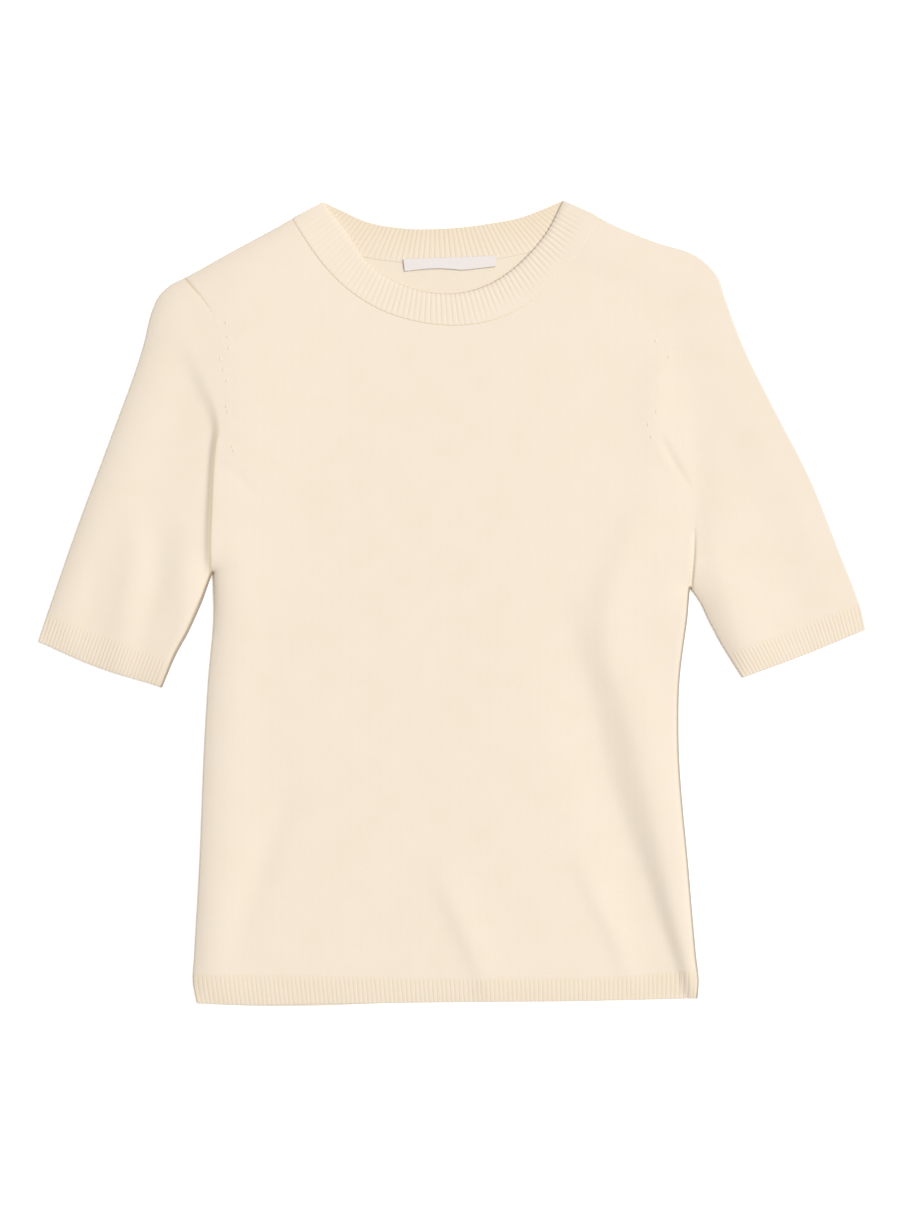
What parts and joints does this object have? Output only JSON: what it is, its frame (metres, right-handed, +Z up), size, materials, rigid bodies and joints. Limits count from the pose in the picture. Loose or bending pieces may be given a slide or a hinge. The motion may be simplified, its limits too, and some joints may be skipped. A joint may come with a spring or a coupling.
{
  "type": "knit t-shirt laid flat",
  "caption": "Fine-knit crew-neck top with short set-in sleeves and ribbed neckband, cuffs and hem, laid flat on its back with a few soft folds.",
  "frame": {"origin": "on the surface the top lies on, under the middle of its outline", "axes": "+X to the viewer's right, which is the wearer's left; +Y from the hem towards the neck; +Z up out of the front panel"},
  "size_m": [0.5968, 0.5802, 0.008],
  "materials": {
    "jersey": "soft matte wool, light warm beige, fine jersey stitch",
    "rib": "soft matte wool, light warm beige, fine rib",
    "label_satin": "off-white woven satin with a slight sheen"
  },
  "bodies": {
    "root": {"body_front": "jersey", "body_back": "jersey", "sleeve_right": "jersey", "sleeve_left": "jersey", "hem_rib_front": "rib", "hem_rib_back": "rib", "cuff_rib_right": "rib", "cuff_rib_left": "rib", "collar": "rib", "neck_label": "label_satin"}
  },
  "joints": []
}
